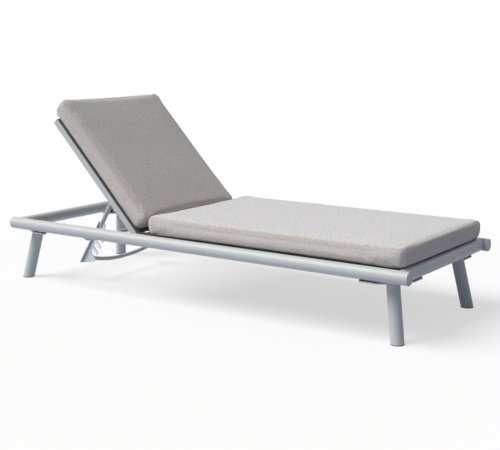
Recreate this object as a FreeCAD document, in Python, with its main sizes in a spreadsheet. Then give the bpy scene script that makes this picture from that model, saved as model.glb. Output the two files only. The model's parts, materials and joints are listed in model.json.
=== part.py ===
import FreeCAD, Part
import math
import os
import Sketcher

# Driving dimensions in millimetres and degrees
DIMENSIONS = {
    # side rails, cross tubes and their end caps
    "overall_length": 1950,
    "overall_width": 765,
    "rail_diameter": 50,
    "rail_wall": 2,
    "rail_height": 254,
    "cross_setback": 36,
    "cap_thickness": 2,
    "cap_plug_length": 12,
    # splayed legs and the glides under them
    "leg_diameter": 50,
    "leg_wall": 2,
    "foot_leg_setback": 102,
    "head_leg_setback": 72,
    "leg_inset": 79,
    "leg_splay_along": 10.44,
    "leg_splay_across": 8.73,
    "glide_thickness": 3,
    "glide_plug_length": 18,
    # corner plates, which carry the legs under the tubes
    "plate_thickness": 5,
    "plate_margin": 8,
    "plate_band": 12,
    "plate_rail_near": 95,
    "plate_rail_far": 158,
    "plate_cross_near": 103,
    "plate_cross_far": 166,
    "plate_heel": 38,
    "plate_toe": 104,
    "spacer_height": 5,
    "spacer_diameter": 18,
    # screws and the threaded inserts that they go into
    "screw_diameter": 6,
    "screw_clearance": 0.4,
    "screw_head_diameter": 11,
    "screw_crown_diameter": 7,
    "screw_head_height": 3.3,
    "screw_socket_diameter": 4.6,
    "screw_socket_depth": 1.8,
    "screw_reach": 12,
    "screw_pitch": 45,
    "screw_edge": 9,
    "insert_diameter": 9,
    "insert_length": 14,
    "insert_clearance": 0.05,
    "insert_sink": 1,
    # deck profiles, bars and sling between the rails
    "side_gap": 10.5,
    "profile_width": 25,
    "profile_depth": 27,
    "profile_wall": 2,
    "deck_rise": 21.7,
    "deck_foot_gap": 9,
    "deck_hinge_gap": 25,
    "deck_screw_rise": 3,
    "bar_width": 25,
    "bar_depth": 18,
    "bar_wall": 1.5,
    "groove_height": 2.2,
    "sling_thickness": 1.2,
    "sling_grip": 5,
    "bead_diameter": 5,
    "plug_cap_thickness": 1.5,
    "plug_cap_length": 10,
    # back hinge
    "hinge_from_head": 682,
    "hinge_pin_diameter": 10,
    "hinge_boss_diameter": 24,
    "hinge_bush_diameter": 14,
    "hinge_flange_diameter": 22,
    "hinge_flange_thickness": 1.7,
    "hinge_head_diameter": 16,
    "hinge_head_thickness": 4,
    "running_clearance": 0.05,
    "press_clearance": 0.02,
    "seat_clearance": 0.3,
    # back frame
    "back_angle": 46.1,
    "stile_above": 630,
    "stile_below": 16.5,
    "bottom_bar_above": 20,
    # rear prop: struts, racks and the bow between them
    "prop_angle": 58.5,
    "prop_above": 251.7,
    "prop_behind": 14,
    "prop_inset": 92,
    "strut_diameter": 20.5,
    "strut_wall": 1.6,
    "strut_head": 8,
    "strut_length": 200,
    "lug_thickness": 4,
    "lug_width": 20,
    "lug_gap": 0.8,
    "prop_pin_diameter": 8,
    "prop_pin_head_diameter": 13,
    "prop_pin_head_thickness": 2.5,
    "prop_bush_diameter": 12,
    "rack_thickness": 4,
    "rack_start": 184,
    "rack_end": 412,
    "rack_back": 11.3,
    "rack_flange": 13,
    "rack_hook_top": 178.5,
    "rack_hook_out": 24,
    "notch_start": 220.2,
    "notch_width": 18,
    "notch_pitch": 33.8,
    "notch_bottom": 10.7,
    "notch_round": 6.5,
    "notch_slant": 9,
    "tooth_tip": 47.7,
    "tooth_chamfer": 3,
    "prop_bow_diameter": 18,
    "prop_bow_along": 350.4,
    "prop_bow_out": 39.7,
    "prop_bow_dip": 34,
    # fixed bow that the racks hook over, bent up to the rails near its ends
    "catch_bow_diameter": 16,
    "catch_bow_arm": 57.5,
    "catch_bow_bend": 30,
    "catch_along": 231.9,
    "catch_out": 29.7,
    # cushions
    "seat_cushion_gap": 83,
    "seat_cushion_setback": 25,
    "seat_cushion_inset": 5.5,
    "seat_cushion_thickness": 82,
    "seat_cushion_taper": 4,
    "seat_cushion_base_round": 40,
    "back_cushion_start": 7,
    "back_cushion_length": 673.5,
    "back_cushion_inset": 2.5,
    "back_cushion_thickness": 85,
    "back_cushion_taper": 4,
    "back_cushion_base_round": 12,
    "cushion_base_rise": 12,
    "cushion_corner": 26,
    "cushion_edge": 12,
    "cushion_crown": 5,
    "cushion_draw": 5,
    "cushion_bulge": 2,
}

# Counts, and places given as shares of the piece that carries them
NOTCH_COUNT = 4
HEXAGON_SIDES = 6
DECK_BAR_SHARES = (0.34, 0.67)
DECK_SCREW_SHARES = (0.08, 0.5, 0.92)
EDGE_SHARES = ((0, 1), (0.1, 0.56), (0.29, 0.29), (0.56, 0.1), (1, 0))
CROWN_SHARES = ((0.45, 0.12), (0.8, 0.3), (1, 0.55))

# The lying person's right-hand rail is on the -Y side, the foot end at +X
SIDES = {"right": -1, "left": 1}
ENDS = {"foot": 1, "head": -1}

ALONG = FreeCAD.Vector(1, 0, 0)
ACROSS = FreeCAD.Vector(0, 1, 0)
UP = FreeCAD.Vector(0, 0, 1)

doc = FreeCAD.newDocument("lounger")
sheet = doc.addObject("Spreadsheet::Sheet", "sizes")


class Size(float):
    """A number that remembers the sheet formula it was worked out from."""

    def __new__(cls, value, formula):
        size = super().__new__(cls, value)
        size.formula = formula
        return size

    def __add__(self, other):
        return Size(float(self) + float(other), f"({self.formula} + {formula_of(other)})")

    def __radd__(self, other):
        return Size(float(other) + float(self), f"({formula_of(other)} + {self.formula})")

    def __sub__(self, other):
        return Size(float(self) - float(other), f"({self.formula} - {formula_of(other)})")

    def __rsub__(self, other):
        return Size(float(other) - float(self), f"({formula_of(other)} - {self.formula})")

    def __mul__(self, other):
        return Size(float(self) * float(other), f"({self.formula} * {formula_of(other)})")

    def __rmul__(self, other):
        return Size(float(other) * float(self), f"({formula_of(other)} * {self.formula})")

    def __truediv__(self, other):
        return Size(float(self) / float(other), f"({self.formula} / {formula_of(other)})")

    def __neg__(self):
        return Size(-float(self), f"(0 - {self.formula})")


def formula_of(value):
    """The sheet formula of a size, or the plain number."""
    return value.formula if isinstance(value, Size) else repr(float(value))


class Sizes:
    """The sheet's cells as attributes."""

    def __getattr__(self, name):
        return Size(DIMENSIONS[name], f"sizes.{name}")


def fill_sheet():
    """One row for each driving dimension, with its name as the alias."""
    for row, (name, value) in enumerate(DIMENSIONS.items(), start=1):
        sheet.set(f"A{row}", name)
        sheet.set(f"B{row}", str(value))
        sheet.setAlias(f"B{row}", name)
    doc.recompute()


fill_sheet()
s = Sizes()

# Derived sizes
rail_radius = s.rail_diameter / 2
rail_bore = rail_radius - s.rail_wall
rail_y = s.overall_width / 2 - rail_radius
cross_x = s.overall_length / 2 - s.cross_setback
tube_under = s.rail_height - rail_radius
plate_top = tube_under - s.spacer_height
plate_bottom = plate_top - s.plate_thickness
leg_radius = s.leg_diameter / 2
screw_radius = s.screw_diameter / 2
screw_hole = (s.screw_diameter + s.screw_clearance) / 2
insert_hole = s.insert_diameter / 2 + s.insert_clearance
profile_outer = rail_y - rail_radius - s.side_gap
profile_inner = profile_outer - s.profile_width
deck_top = s.rail_height + s.deck_rise
deck_bottom = deck_top - s.profile_depth
hinge_x = s.hinge_from_head - s.overall_length / 2
hinge_z = deck_top - s.profile_depth / 2
half_depth = s.profile_depth / 2
deck_rear = hinge_x + s.deck_hinge_gap
deck_foot = cross_x - rail_radius - s.deck_foot_gap
sling_drop = s.profile_wall + (s.groove_height - s.sling_thickness) / 2
strut_radius = s.strut_diameter / 2
prop_y = profile_inner - s.prop_inset
pin_radius = s.hinge_pin_diameter / 2
pin_hole = pin_radius + s.running_clearance
boss_face = profile_outer + s.hinge_flange_thickness + s.seat_clearance
hinge_head_face = profile_inner - s.seat_clearance
lug_inner = strut_radius + s.lug_gap
prop_pin_radius = s.prop_pin_diameter / 2
seat_cushion_width = 2 * (rail_y - s.seat_cushion_inset)
back_cushion_width = 2 * (profile_outer - s.back_cushion_inset)

# Frames of the raised back and of its prop
tilt = math.radians(s.back_angle)
back_up = FreeCAD.Vector(-math.cos(tilt), 0, math.sin(tilt))
back_front = FreeCAD.Vector(math.sin(tilt), 0, math.cos(tilt))
hinge_point = FreeCAD.Vector(hinge_x, 0, hinge_z)
back_frame = FreeCAD.Placement(hinge_point, FreeCAD.Rotation(back_up, -ACROSS, back_front, "XYZ"))

fall = math.radians(s.prop_angle)
prop_down = FreeCAD.Vector(-math.cos(fall), 0, -math.sin(fall))
prop_out = FreeCAD.Vector(math.sin(fall), 0, -math.cos(fall))
prop_point = back_frame.multVec(FreeCAD.Vector(s.prop_above, 0, -(half_depth + s.prop_behind)))
catch_point = prop_point + prop_down * s.catch_along + prop_out * s.catch_out

parts = {}


def bind(thing, **sizes):
    """Tie properties to the sheet."""
    for name, size in sizes.items():
        thing.setExpression(name, formula_of(size))


def place(thing, x, y, z, rotation=FreeCAD.Rotation(), frame=None):
    """Put a piece at a point of the whole object, or of a tilted frame."""
    local = FreeCAD.Placement(FreeCAD.Vector(x, y, z), rotation)
    if frame is not None:
        thing.Placement = frame.multiply(local)
        return thing
    thing.Placement = local
    for axis, size in zip("xyz", (x, y, z)):
        if isinstance(size, Size):
            thing.setExpression(f"Placement.Base.{axis}", size.formula)
    return thing


def keep(thing, name):
    """Make an object a sub-part: its label names the sub-part."""
    thing.Label = name
    parts[name] = thing
    return thing


def rod(name, radius, length, x, y, z, direction=UP, frame=None):
    """A round bar from a point along a direction."""
    bar = doc.addObject("Part::Cylinder", name)
    bind(bar, Radius=radius, Height=length)
    return place(bar, x, y, z, FreeCAD.Rotation(UP, direction), frame)


def block(name, length, width, height, x, y, z, frame=None):
    """A box from its lowest corner."""
    box = doc.addObject("Part::Box", name)
    bind(box, Length=length, Width=width, Height=height)
    return place(box, x, y, z, frame=frame)


def together(name, pieces):
    """Several separate solids as one sub-part."""
    group = doc.addObject("Part::Compound", name)
    group.Links = pieces
    return group


def fused(name, pieces):
    """Several touching solids as one."""
    union = doc.addObject("Part::MultiFuse", name)
    union.Shapes = pieces
    union.Refine = True
    return union


def cut(name, base, tools):
    """A solid less one or more others."""
    tool = tools[0] if len(tools) == 1 else fused(f"{name}_tools", tools)
    rest = doc.addObject("Part::Cut", name)
    rest.Base = base
    rest.Tool = tool
    return rest


def common(name, base, tool):
    """What two solids share."""
    shared = doc.addObject("Part::Common", name)
    shared.Base = base
    shared.Tool = tool
    return shared


def origin_plane(body, role):
    """One of a body's own origin planes, by its role."""
    return next(plane for plane in body.Origin.OriginFeatures if plane.Role == role)


def sketch_on(body, name):
    """An empty sketch on a body's own base plane."""
    sketch = body.newObject("Sketcher::SketchObject", name)
    sketch.AttachmentSupport = (origin_plane(body, "XY_Plane"), [""])
    sketch.MapMode = "FlatFace"
    return sketch


def fix_point(sketch, geometry, vertex, x, y):
    """Hold one point of a sketch at sizes of the sheet."""
    for kind, size, axis in (("DistanceX", x, -2), ("DistanceY", y, -1)):
        if float(size) == 0:
            sketch.addConstraint(Sketcher.Constraint("PointOnObject", geometry, vertex, axis))
            continue
        index = sketch.addConstraint(
            Sketcher.Constraint(kind, -1, 1, geometry, vertex, float(size)))
        sketch.setExpression(f"Constraints[{index}]", formula_of(size))


def draw_outline(sketch, corners):
    """Close an outline through corners; a corner of four sizes ends an arc through its first two."""
    start = corners[-1][-2:]
    count = len(corners)
    for corner in corners:
        first = FreeCAD.Vector(start[0], start[1], 0)
        last = FreeCAD.Vector(corner[-2], corner[-1], 0)
        if len(corner) == 2:
            sketch.addGeometry(Part.LineSegment(first, last))
        else:
            sketch.addGeometry(Part.Arc(first, FreeCAD.Vector(corner[0], corner[1], 0), last))
        start = corner[-2:]
    for index in range(count):
        following = (index + 1) % count
        end_vertex = nearest_vertex(sketch, index, corners[index][-2:])
        start_vertex = nearest_vertex(sketch, following, corners[index][-2:])
        sketch.addConstraint(
            Sketcher.Constraint("Coincident", index, end_vertex, following, start_vertex))
        fix_point(sketch, index, end_vertex, *corners[index][-2:])


def nearest_vertex(sketch, geometry, point):
    """Which end of an edge, 1 or 2, lies at a point."""
    target = FreeCAD.Vector(point[0], point[1], 0)
    ends = (sketch.getPoint(geometry, 1), sketch.getPoint(geometry, 2))
    return 1 if (ends[0] - target).Length <= (ends[1] - target).Length else 2


def draw_hole(sketch, radius, x, y):
    """A round hole in a sketch."""
    centre = FreeCAD.Vector(x, y, 0)
    index = sketch.addGeometry(Part.Circle(centre, UP, float(radius)))
    fix_point(sketch, index, 3, x, y)
    held = sketch.addConstraint(Sketcher.Constraint("Radius", index, float(radius)))
    sketch.setExpression(f"Constraints[{held}]", formula_of(radius))


def pad(body, sketch, length, both_ways=False):
    """Raise a sketch into a solid."""
    raised = body.newObject("PartDesign::Pad", f"{sketch.Name}_pad")
    raised.Profile = sketch
    raised.Midplane = both_ways
    raised.setExpression("Length", formula_of(length))
    sketch.Visibility = False
    return raised


def hollow_profile(name, length, width, depth, wall, x, y, z, frame=None):
    """Outer block and bore of a rectangular tube that runs along the local X axis."""
    outer = block(f"{name}_outer", length, width, depth, x, y, z, frame)
    bore = block(f"{name}_bore", length, width - 2 * wall, depth - 2 * wall,
                 x, y + wall, z + wall, frame)
    return outer, bore


def cross_bar(name, half_span, x, z, frame=None):
    """A rectangular tube across the deck or the back, between the profiles."""
    outer = block(f"{name}_outer", s.bar_width, 2 * half_span, s.bar_depth,
                  x, -half_span, z, frame)
    bore = block(f"{name}_bore", s.bar_width - 2 * s.bar_wall, 2 * half_span,
                 s.bar_depth - 2 * s.bar_wall, x + s.bar_wall, -half_span, z + s.bar_wall, frame)
    return keep(cut(f"{name}_tube", outer, [bore]), name)


# Screws and threaded inserts
def screw(name, start, direction, shank_length):
    """A button-head screw: start is on the face that the head bears on."""
    turn = FreeCAD.Rotation(UP, direction)
    under = start - direction * float(s.screw_head_height)
    shank = rod(f"{name}_shank", screw_radius, shank_length, *start, direction)
    head = doc.addObject("Part::Cone", f"{name}_head")
    bind(head, Radius1=s.screw_crown_diameter / 2, Radius2=s.screw_head_diameter / 2,
         Height=s.screw_head_height)
    head.Placement = FreeCAD.Placement(under, turn)
    socket = doc.addObject("Part::Prism", f"{name}_socket")
    socket.Polygon = HEXAGON_SIDES
    bind(socket, Circumradius=s.screw_socket_diameter / 2, Height=s.screw_socket_depth)
    socket.Placement = FreeCAD.Placement(under, turn)
    return cut(f"{name}_screw", fused(f"{name}_blank", [shank, head]), [socket])


def insert(name, start, direction):
    """A threaded insert set flush in a tube's wall."""
    sleeve = rod(f"{name}_sleeve", s.insert_diameter / 2, s.insert_length, *start, direction)
    thread = rod(f"{name}_thread", screw_radius + s.insert_clearance, s.insert_length,
                 *start, direction)
    return cut(f"{name}_insert", sleeve, [thread])


def rail_screw_xs(end):
    """Where a corner plate's two screws go into the side rail."""
    outer = cross_x - s.plate_rail_far + s.screw_edge
    return (end * outer, end * (outer + s.screw_pitch))


def cross_screw_ys(side):
    """Where a corner plate's two screws go into the cross tube."""
    inner = rail_y - s.plate_cross_far + s.screw_edge
    return (side * inner, side * (inner + s.screw_pitch))


def deck_screw_xs():
    """Where the deck's screws go into the side rails."""
    return [deck_rear + (deck_foot - deck_rear) * share for share in DECK_SCREW_SHARES]


deck_screw_z = s.rail_height + s.deck_screw_rise
rail_face = rail_y - math.sqrt(rail_radius ** 2 - s.deck_screw_rise ** 2)


# Frame tubes
def make_side_rails():
    for side_name, side in SIDES.items():
        tube_start = s.cap_thickness - s.overall_length / 2
        tube_length = s.overall_length - 2 * s.cap_thickness
        axis = (tube_start, side * rail_y, s.rail_height)
        outer = rod(f"rail_{side_name}_outer", rail_radius, tube_length, *axis, ALONG)
        tools = [rod(f"rail_{side_name}_bore", rail_bore, tube_length, *axis, ALONG)]
        for end_name, end in ENDS.items():
            for index, x in enumerate(rail_screw_xs(end)):
                tools.append(rod(f"rail_{side_name}_{end_name}_hole{index}", insert_hole,
                                 rail_radius, x, side * rail_y, tube_under, UP))
        for index, x in enumerate(deck_screw_xs()):
            tools.append(rod(f"rail_{side_name}_deck_hole{index}", insert_hole, rail_radius,
                             x, side * (rail_y - rail_radius), deck_screw_z, ACROSS * side))
        tools.append(rod(f"rail_{side_name}_hinge_hole", pin_hole, rail_radius,
                         hinge_x, side * (rail_y - rail_radius), hinge_z, ACROSS * side))
        keep(cut(f"rail_{side_name}", outer, tools), f"side_rail_{side_name}")


def make_end_caps():
    caps = []
    for side_name, side in SIDES.items():
        for end_name, end in ENDS.items():
            inward = ALONG * -end
            face = (end * s.overall_length / 2, side * rail_y, s.rail_height)
            disc = rod(f"cap_{side_name}_{end_name}_disc", rail_radius, s.cap_thickness,
                       *face, inward)
            plug = rod(f"cap_{side_name}_{end_name}_plug", rail_bore - s.insert_clearance,
                       s.cap_plug_length, *face, inward)
            caps.append(fused(f"cap_{side_name}_{end_name}", [disc, plug]))
    keep(together("caps", caps), "rail_end_caps")


def make_cross_tubes():
    for end_name, end in ENDS.items():
        axis = (end * cross_x, -rail_y, s.rail_height)
        outer = rod(f"cross_{end_name}_outer", rail_radius, 2 * rail_y, *axis, ACROSS)
        tools = [rod(f"cross_{end_name}_bore", rail_bore, 2 * rail_y, *axis, ACROSS)]
        for side_name, side in SIDES.items():
            tools.append(rod(f"cross_{end_name}_{side_name}_cope", rail_radius, s.overall_length,
                             -s.overall_length / 2, side * rail_y, s.rail_height, ALONG))
            for index, y in enumerate(cross_screw_ys(side)):
                tools.append(rod(f"cross_{end_name}_{side_name}_hole{index}", insert_hole,
                                 rail_radius, end * cross_x, y, tube_under, UP))
        keep(cut(f"cross_{end_name}", outer, tools), f"{end_name}_cross_tube")


# Corner plates, spacers and legs
def make_corner_plates():
    margin = s.plate_margin
    corners = [
        (s.plate_rail_far + margin, 0),
        (s.plate_rail_near + margin, 0),
        (s.plate_heel, s.plate_heel),
        (0, s.plate_cross_near + margin),
        (0, s.plate_cross_far + margin),
        (s.plate_band, s.plate_cross_far + margin),
        (s.plate_toe, s.plate_toe),
        (s.plate_rail_far + margin, s.plate_band),
    ]
    first = s.screw_edge
    second = s.screw_edge + s.screw_pitch
    for end_name, end in ENDS.items():
        for side_name, side in SIDES.items():
            name = f"corner_plate_{end_name}_{side_name}"
            body = doc.addObject("PartDesign::Body", f"{name}_body")
            sketch = sketch_on(body, f"{name}_outline")
            draw_outline(sketch, corners)
            for step in (first, second):
                draw_hole(sketch, screw_hole, s.plate_rail_far + margin - step, margin)
                draw_hole(sketch, screw_hole, margin, s.plate_cross_far + margin - step)
            pad(body, sketch, s.plate_thickness)
            inboard = ALONG * -end
            inward = ACROSS * -side
            turn = FreeCAD.Rotation(inboard, inward, inboard.cross(inward), "XYZ")
            level = plate_bottom if end * side > 0 else plate_top
            place(body, end * (cross_x + margin), side * (rail_y + margin), level, turn)
            keep(body, name)


def corner_screw_points():
    """The eight screw places at each end of the frame, under the tubes."""
    points = []
    for end in ENDS.values():
        for side in SIDES.values():
            points += [(x, side * rail_y, ALONG) for x in rail_screw_xs(end)]
            points += [(end * cross_x, y, ACROSS) for y in cross_screw_ys(side)]
    return points


def make_corner_fixings():
    spacers = []
    screws = []
    inserts = []
    for index, (x, y, axis) in enumerate(corner_screw_points()):
        name = f"corner{index}"
        washer = rod(f"{name}_washer", s.spacer_diameter / 2, rail_radius, x, y, plate_top)
        hole = rod(f"{name}_washer_hole", screw_hole, rail_radius, x, y, plate_top)
        low = -s.spacer_diameter
        run = (x + low, y, s.rail_height) if axis is ALONG else (x, y + low, s.rail_height)
        saddle = rod(f"{name}_saddle", rail_radius, 2 * s.spacer_diameter, *run, axis)
        spacers.append(cut(f"{name}_spacer", washer, [hole, saddle]))
        start = FreeCAD.Vector(x, y, plate_bottom)
        reach = s.plate_thickness + s.spacer_height + s.screw_reach
        screws.append(screw(name, start, UP, reach))
        inserts.append(insert(name, FreeCAD.Vector(x, y, tube_under + s.insert_sink), UP))
    keep(together("corner_spacers", spacers), "plate_spacers")
    keep(together("corner_screws", screws), "plate_screws")
    return inserts


def leg_axis(end_name, side):
    """A point of a leg's axis at the plate's underside, and the way down."""
    end = ENDS[end_name]
    setback = s.foot_leg_setback if end_name == "foot" else s.head_leg_setback
    top = FreeCAD.Vector(end * (s.overall_length / 2 - setback), side * (rail_y - s.leg_inset),
                         plate_bottom)
    down = FreeCAD.Vector(end * math.tan(math.radians(s.leg_splay_along)),
                          side * math.tan(math.radians(s.leg_splay_across)), -1)
    return top, down.normalize()


def make_legs():
    run = 2 * plate_bottom
    slab = s.overall_length
    for end_name in ENDS:
        for side_name, side in SIDES.items():
            top, down = leg_axis(end_name, side)
            start = top - down * float(s.leg_diameter)
            name = f"{end_name}_{side_name}"
            outer = rod(f"leg_{name}_outer", leg_radius, run, *start, down)
            bore = rod(f"leg_{name}_bore", leg_radius - s.leg_wall, run, *start, down)
            height = block(f"leg_{name}_height", slab, slab, plate_bottom - s.glide_thickness,
                           -slab / 2, -slab / 2, s.glide_thickness)
            tube = cut(f"leg_{name}_tube", outer, [bore])
            keep(common(f"leg_{name}_cut", tube, height), f"leg_{name}")

            pad_round = rod(f"glide_{name}_round", leg_radius, run, *start, down)
            pad_level = block(f"glide_{name}_level", slab, slab, s.glide_thickness,
                              -slab / 2, -slab / 2, 0)
            plug_round = rod(f"glide_{name}_core", leg_radius - s.leg_wall - s.insert_clearance,
                             run, *start, down)
            plug_level = block(f"glide_{name}_plug_level", slab, slab,
                               s.glide_thickness + s.glide_plug_length, -slab / 2, -slab / 2, 0)
            foot = common(f"glide_{name}_foot", pad_round, pad_level)
            plug = common(f"glide_{name}_plug", plug_round, plug_level)
            keep(fused(f"glide_{name}", [foot, plug]), f"leg_glide_{name}")


# Deck between the rails
def sling_groove(name, length, x, inner_face, top, frame=None):
    """The slot that runs along a profile's inner face for the sling's edge."""
    return block(f"{name}_groove", length, 2 * s.profile_wall, s.groove_height,
                 x, inner_face - s.profile_wall, top - s.profile_wall - s.groove_height, frame)


def make_deck_profiles():
    length = deck_foot - deck_rear - 2 * s.plug_cap_thickness
    start = deck_rear + s.plug_cap_thickness
    for side_name, side in SIDES.items():
        name = f"deck_{side_name}"
        low = profile_inner if side > 0 else -profile_outer
        inner_face = side * profile_inner
        outer, bore = hollow_profile(name, length, s.profile_width, s.profile_depth,
                                     s.profile_wall, start, low, deck_bottom)
        groove = sling_groove(name, length, start, inner_face, deck_top)
        tools = [bore, groove]
        for index, x in enumerate(deck_screw_xs()):
            tools.append(rod(f"{name}_hole{index}", screw_hole, s.profile_width + s.profile_wall,
                             x, inner_face, deck_screw_z, ACROSS * side))
        keep(cut(f"{name}_profile", outer, tools), f"deck_profile_{side_name}")


def plug_cap(name, x, y, z, inward, frame=None):
    """A cap on the end of a profile, with a plug inside the bore."""
    flange_x = x if inward > 0 else x - s.plug_cap_thickness
    plug_x = x if inward > 0 else x - s.plug_cap_length
    gap = s.profile_wall + s.insert_clearance
    flange = block(f"{name}_flange", s.plug_cap_thickness, s.profile_width, s.profile_depth,
                   flange_x, y, z, frame)
    plug = block(f"{name}_plug", s.plug_cap_length, s.profile_width - 2 * gap,
                 s.profile_depth - 2 * gap, plug_x, y + gap, z + gap, frame)
    return fused(name, [flange, plug])


def make_profile_caps():
    caps = []
    for side_name, side in SIDES.items():
        low = profile_inner if side > 0 else -profile_outer
        caps.append(plug_cap(f"deck_cap_{side_name}_rear", deck_rear, low, deck_bottom, 1))
        caps.append(plug_cap(f"deck_cap_{side_name}_foot", deck_foot, low, deck_bottom, -1))
    keep(together("deck_caps", caps), "deck_profile_caps")


def make_deck_bars():
    length = deck_foot - deck_rear
    places = {
        "deck_bar_rear": deck_rear,
        "deck_bar_mid_rear": deck_rear + length * DECK_BAR_SHARES[0],
        "deck_bar_mid_foot": deck_rear + length * DECK_BAR_SHARES[1],
        "deck_bar_foot": deck_foot - s.bar_width,
    }
    for name, x in places.items():
        cross_bar(name, profile_inner, x, deck_bottom)


def make_sling(name, x, length, top, frame=None):
    """A stretched sheet whose edges sit in the profiles' grooves, over two beads."""
    half_width = profile_inner + s.sling_grip
    sheet_low = top - sling_drop - s.sling_thickness
    cloth = block(f"{name}_cloth", length, 2 * half_width, s.sling_thickness,
                  x, -half_width, sheet_low, frame)
    keep(cloth, name)
    beads = []
    bead_radius = s.bead_diameter / 2
    for side_name, side in SIDES.items():
        y = side * (half_width + bead_radius)
        z = top - s.profile_wall - bead_radius - s.insert_clearance
        bead = rod(f"{name}_bead_{side_name}", bead_radius, length, x, y, z, ALONG, frame)
        beads.append(bead)
    keep(together(f"{name}_bead_pair", beads), f"{name}_beads")


def make_deck_fixings():
    spacers = []
    screws = []
    inserts = []
    for side_name, side in SIDES.items():
        outward = ACROSS * side
        for index, x in enumerate(deck_screw_xs()):
            name = f"deck_{side_name}_{index}"
            post = rod(f"{name}_post", s.spacer_diameter / 2, rail_radius,
                       x, side * profile_outer, deck_screw_z, outward)
            hole = rod(f"{name}_post_hole", screw_hole, rail_radius,
                       x, side * profile_outer, deck_screw_z, outward)
            saddle = rod(f"{name}_saddle", rail_radius, 2 * s.spacer_diameter,
                         x - s.spacer_diameter, side * rail_y, s.rail_height, ALONG)
            spacers.append(cut(f"{name}_spacer", post, [hole, saddle]))
            reach = s.profile_width + s.side_gap + s.screw_reach
            head_seat = FreeCAD.Vector(x, side * profile_inner, deck_screw_z)
            screws.append(screw(name, head_seat, outward, reach))
            seat = side * (rail_face + s.insert_sink)
            inserts.append(insert(name, FreeCAD.Vector(x, seat, deck_screw_z), outward))
    keep(together("deck_spacer_set", spacers), "deck_spacers")
    keep(together("deck_screw_set", screws), "deck_screws")
    return inserts


# Back hinge
def make_hinges():
    bushes = []
    pin_length = rail_y - hinge_head_face - rail_radius / 2
    for side_name, side in SIDES.items():
        outward = ACROSS * side
        boss = rod(f"hinge_{side_name}_round", s.hinge_boss_diameter / 2, rail_radius,
                   hinge_x, side * boss_face, hinge_z, outward)
        boss_hole = rod(f"hinge_{side_name}_boss_hole", pin_hole, rail_radius,
                        hinge_x, side * boss_face, hinge_z, outward)
        cope = rod(f"hinge_{side_name}_cope", rail_radius, 2 * s.hinge_boss_diameter,
                   hinge_x - s.hinge_boss_diameter, side * rail_y, s.rail_height, ALONG)
        keep(cut(f"hinge_{side_name}_boss", boss, [boss_hole, cope]), f"hinge_boss_{side_name}")

        shaft = rod(f"hinge_{side_name}_shaft", pin_radius, pin_length,
                    hinge_x, side * hinge_head_face, hinge_z, outward)
        head = rod(f"hinge_{side_name}_head", s.hinge_head_diameter / 2, s.hinge_head_thickness,
                   hinge_x, side * (hinge_head_face - s.hinge_head_thickness), hinge_z, outward)
        keep(fused(f"hinge_{side_name}_pin", [shaft, head]), f"hinge_pin_{side_name}")

        bush_length = s.profile_width + s.hinge_flange_thickness
        sleeve = rod(f"hinge_{side_name}_sleeve", s.hinge_bush_diameter / 2 - s.press_clearance,
                     bush_length, hinge_x, side * profile_inner, hinge_z, outward)
        flange = rod(f"hinge_{side_name}_flange", s.hinge_flange_diameter / 2,
                     s.hinge_flange_thickness, hinge_x, side * profile_outer, hinge_z, outward)
        bore = rod(f"hinge_{side_name}_bore", pin_hole, bush_length,
                   hinge_x, side * profile_inner, hinge_z, outward)
        blank = fused(f"hinge_{side_name}_bush_blank", [sleeve, flange])
        bushes.append(cut(f"hinge_{side_name}_bush", blank, [bore]))
    keep(together("hinge_bush_pair", bushes), "hinge_bushes")


# Back frame, in its own tilted frame: X up the stiles, Y to the right, Z to the front
def make_back_stiles():
    length = s.stile_above + s.stile_below - 2 * s.plug_cap_thickness
    start = s.plug_cap_thickness - s.stile_below
    caps = []
    for side_name, side in SIDES.items():
        local_side = -side
        name = f"stile_{side_name}"
        low = profile_inner if local_side > 0 else -profile_outer
        outer, bore = hollow_profile(name, length, s.profile_width, s.profile_depth,
                                     s.profile_wall, start, low, -half_depth, back_frame)
        groove = sling_groove(name, length, start, local_side * profile_inner, half_depth,
                              back_frame)
        eye = rod(f"{name}_eye", s.hinge_bush_diameter / 2, s.profile_width,
                  hinge_x, side * profile_inner, hinge_z, ACROSS * side)
        keep(cut(f"{name}_profile", outer, [bore, groove, eye]), f"back_stile_{side_name}")
        caps.append(plug_cap(f"{name}_cap_top", s.stile_above, low, -half_depth, -1, back_frame))
        low_plug = s.plug_cap_thickness * 2
        caps.append(short_cap(f"{name}_cap_low", -s.stile_below, low, low_plug))
    keep(together("stile_caps", caps), "back_stile_caps")


def short_cap(name, x, y, plug_length):
    """The cap at a stile's lower end, whose plug stops short of the hinge."""
    gap = s.profile_wall + s.insert_clearance
    flange = block(f"{name}_flange", s.plug_cap_thickness, s.profile_width, s.profile_depth,
                   x, y, -half_depth, back_frame)
    plug = block(f"{name}_plug", plug_length, s.profile_width - 2 * gap,
                 s.profile_depth - 2 * gap, x, y + gap, gap - half_depth, back_frame)
    return fused(name, [flange, plug])


def make_back_bars():
    places = {
        "back_bar_bottom": s.bottom_bar_above,
        "back_bar_prop": s.prop_above - s.bar_width / 2,
        "back_bar_top": s.stile_above - s.bar_width,
    }
    for name, x in places.items():
        cross_bar(name, profile_inner, x, -half_depth, back_frame)


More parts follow.
